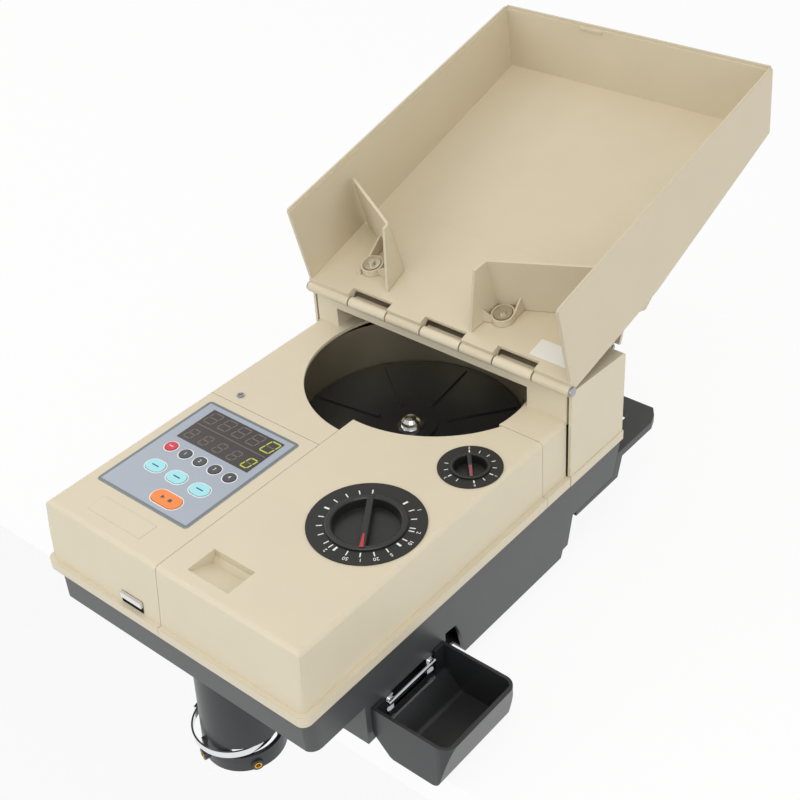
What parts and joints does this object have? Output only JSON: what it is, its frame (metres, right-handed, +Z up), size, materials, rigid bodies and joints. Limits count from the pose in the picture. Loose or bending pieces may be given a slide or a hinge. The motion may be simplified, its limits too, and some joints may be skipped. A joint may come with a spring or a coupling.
{
  "type": "coin counting machine",
  "caption": "Counter-top coin counting machine with a fold-over hopper tray, a round feed bowl, a keypad with a display, two setting dials, a bag spout and a side reject box.",
  "frame": {"origin": "centre of the plane that the four rubber feet stand on, midway between the front and the rear wall of the deep base", "axes": "+Z up, square to the feet's plane; -Y towards the operator at the keypad; +X to the operator's right, the reject box's side"},
  "size_m": [0.283, 0.5041, 0.3173],
  "materials": {
    "cream_abs": "moulded ABS, fine texture",
    "tray_abs": "moulded ABS, fine texture",
    "grey_abs": "moulded ABS, satin",
    "grey_steel": "painted sheet steel",
    "black_abs": "moulded ABS, semi-gloss",
    "rubber": "moulded rubber",
    "belt_rubber": "flat rubber belt",
    "zinc_steel": "zinc-plated steel",
    "panel_film": "printed film on plastic",
    "smoked_acrylic": "smoked acrylic window",
    "display_black": "moulded housing",
    "board_green": "circuit board",
    "red_key": "moulded key",
    "dark_key": "moulded key",
    "cyan_key": "moulded key",
    "orange_key": "moulded key",
    "dial_black": "printed disc",
    "knob_black": "moulded knob",
    "chrome": "chromed steel",
    "nickel": "nickel-plated, turned",
    "white_label": "bare film label",
    "polished_steel": "rolled stainless sheet",
    "disc_black": "moulded disc",
    "cast_grey": "die-cast",
    "pulley_grey": "turned",
    "motor_grey": "painted motor body",
    "plate_steel": "zinc-plated plate",
    "roller_grey": "turned roller",
    "inlet_black": "moulded",
    "brass": "turned brass"
  },
  "bodies": {
    "root": {"front_cover": "cream_abs", "panel_cover": "cream_abs", "rear_cover": "cream_abs", "tower_shell": "cream_abs", "base_housing": "grey_abs", "rear_deck": "grey_steel", "rubber_feet": "rubber", "cover_screw": "zinc_steel", "keypad_overlay": "panel_film", "display_window": "smoked_acrylic", "display_modules": "display_black", "keypad_board": "board_green", "dial_plate_large": "dial_black", "dial_plate_small": "dial_black", "hinge_pin": "zinc_steel", "prop_pin": "zinc_steel", "bowl_ring": "polished_steel", "disc_bearing": "cast_grey", "drive_belt": "belt_rubber", "motor": "motor_grey", "main_plate": "plate_steel", "track_frame": "plate_steel", "transport_belt": "belt_rubber", "coin_sensor": "display_black", "main_board": "board_green", "transformer": "motor_grey", "mains_inlet": "inlet_black", "spout_tube": "black_abs", "spout_inserts": "brass", "reject_hanger": "chrome"},
    "red_button": {"red_button": "red_key"},
    "dark_button_1": {"dark_button_1": "dark_key"},
    "dark_button_2": {"dark_button_2": "dark_key"},
    "dark_button_3": {"dark_button_3": "dark_key"},
    "dark_button_4": {"dark_button_4": "dark_key"},
    "cyan_button_1": {"cyan_button_1": "cyan_key"},
    "cyan_button_2": {"cyan_button_2": "cyan_key"},
    "cyan_button_3": {"cyan_button_3": "cyan_key"},
    "start_button": {"start_button": "orange_key"},
    "large_knob": {"knob_large": "knob_black"},
    "small_knob": {"knob_small": "knob_black"},
    "rail": {"diameter_rail": "zinc_steel"},
    "gate": {"thickness_gate": "zinc_steel"},
    "latch": {"front_latch": "chrome"},
    "tray": {"hopper_tray": "tray_abs", "guide_screws": "nickel", "blank_label": "white_label"},
    "guide_left": {"left_guide": "tray_abs"},
    "guide_right": {"right_guide": "tray_abs"},
    "prop": {"tray_prop": "cream_abs"},
    "disc": {"feed_disc": "disc_black", "disc_nut": "chrome", "disc_shaft": "zinc_steel", "disc_pulley": "pulley_grey"},
    "motor_wheel": {"motor_pulley": "pulley_grey"},
    "roller_front": {"drive_roller": "roller_grey"},
    "roller_back": {"idler_roller": "roller_grey"},
    "switch": {"power_switch": "inlet_black"},
    "ring": {"bag_ring": "chrome"},
    "box": {"reject_box": "black_abs"}
  },
  "joints": [
    {"name": "red_button_press", "type": "slide", "parent": "root", "child": "red_button", "axis": [0, 0, -1], "range_m": [0, 0.0004], "stiffness_N_per_m": 400},
    {"name": "dark_button_1_press", "type": "slide", "parent": "root", "child": "dark_button_1", "axis": [0, 0, -1], "range_m": [0, 0.0004], "stiffness_N_per_m": 400},
    {"name": "dark_button_2_press", "type": "slide", "parent": "root", "child": "dark_button_2", "axis": [0, 0, -1], "range_m": [0, 0.0004], "stiffness_N_per_m": 400},
    {"name": "dark_button_3_press", "type": "slide", "parent": "root", "child": "dark_button_3", "axis": [0, 0, -1], "range_m": [0, 0.0004], "stiffness_N_per_m": 400},
    {"name": "dark_button_4_press", "type": "slide", "parent": "root", "child": "dark_button_4", "axis": [0, 0, -1], "range_m": [0, 0.0004], "stiffness_N_per_m": 400},
    {"name": "cyan_button_1_press", "type": "slide", "parent": "root", "child": "cyan_button_1", "axis": [0, 0, -1], "range_m": [0, 0.0004], "stiffness_N_per_m": 400},
    {"name": "cyan_button_2_press", "type": "slide", "parent": "root", "child": "cyan_button_2", "axis": [0, 0, -1], "range_m": [0, 0.0004], "stiffness_N_per_m": 400},
    {"name": "cyan_button_3_press", "type": "slide", "parent": "root", "child": "cyan_button_3", "axis": [0, 0, -1], "range_m": [0, 0.0004], "stiffness_N_per_m": 400},
    {"name": "start_button_press", "type": "slide", "parent": "root", "child": "start_button", "axis": [0, 0, -1], "range_m": [0, 0.0004], "stiffness_N_per_m": 400},
    {"name": "diameter_dial", "type": "hinge", "parent": "root", "child": "large_knob", "pos_m": [0.0679, -0.04145, 0.121], "axis": [0, 0, 1], "range_deg": [-150, 150]},
    {"name": "thickness_dial", "type": "hinge", "parent": "root", "child": "small_knob", "pos_m": [0.0858, 0.03665, 0.121], "axis": [0, 0, 1], "range_deg": [-150, 150]},
    {"name": "rail_shift", "type": "slide", "parent": "root", "child": "rail", "axis": [1, 0, 0], "range_m": [-0.003, 0.003]},
    {"name": "gate_lift", "type": "slide", "parent": "root", "child": "gate", "axis": [0, 0, 1], "range_m": [-0.0015, 0.0015]},
    {"name": "latch_press", "type": "slide", "parent": "root", "child": "latch", "axis": [0, 1, 0], "range_m": [0, 0.0018], "stiffness_N_per_m": 500},
    {"name": "tray_hinge", "type": "hinge", "parent": "root", "child": "tray", "pos_m": [0, 0.10825, 0.148], "axis": [1, 0, 0], "range_deg": [0, 166.25]},
    {"name": "left_guide_turn", "type": "hinge", "parent": "tray", "child": "guide_left", "pos_m": [-0.0728, 0.13247, 0.16594], "axis": [0, -0.292, 0.9564], "range_deg": [-100, 0]},
    {"name": "right_guide_turn", "type": "hinge", "parent": "tray", "child": "guide_right", "pos_m": [0.0413, 0.13295, 0.16609], "axis": [0, -0.292, 0.9564], "range_deg": [0, 165]},
    {"name": "prop_fold", "type": "hinge", "parent": "root", "child": "prop", "pos_m": [0, 0.17535, 0.14], "axis": [-1, 0, 0], "range_deg": [0, 150]},
    {"name": "disc_spin", "type": "hinge", "parent": "root", "child": "disc", "pos_m": [-0.005, 0.08575, 0.08], "axis": [0, 0, 1], "continuous": true},
    {"name": "motor_spin", "type": "hinge", "parent": "root", "child": "motor_wheel", "pos_m": [-0.062, 0.00675, 0.054], "axis": [0, 0, 1], "continuous": true},
    {"name": "drive_roller_spin", "type": "hinge", "parent": "root", "child": "roller_front", "pos_m": [0.093, -0.06725, 0.0925], "axis": [1, 0, 0], "continuous": true},
    {"name": "idler_roller_spin", "type": "hinge", "parent": "root", "child": "roller_back", "pos_m": [0.093, 0.06875, 0.0925], "axis": [1, 0, 0], "continuous": true},
    {"name": "switch_rock", "type": "hinge", "parent": "root", "child": "switch", "pos_m": [-0.0575, 0.17275, 0.0905], "axis": [1, 0, 0], "range_deg": [0, 8]},
    {"name": "ring_pull", "type": "slide", "parent": "root", "child": "ring", "axis": [0.7266, 0.6871, 0], "range_m": [0, 0.0013], "stiffness_N_per_m": 600},
    {"name": "box_lift_off", "type": "slide", "parent": "root", "child": "box", "axis": [1, 0, 0], "range_m": [0, 0.07]}
  ],
  "couplings": [
    {"joint": "left_guide_turn", "follows": "tray_hinge", "ratio": -0.565},
    {"joint": "right_guide_turn", "follows": "tray_hinge", "ratio": 0.9323},
    {"joint": "rail_shift", "follows": "diameter_dial", "m_per_rad": 0.00114},
    {"joint": "gate_lift", "follows": "thickness_dial", "m_per_rad": 0.00057},
    {"joint": "motor_spin", "follows": "disc_spin", "ratio": 3},
    {"joint": "drive_roller_spin", "follows": "disc_spin", "ratio": 4},
    {"joint": "idler_roller_spin", "follows": "disc_spin", "ratio": 4}
  ]
}
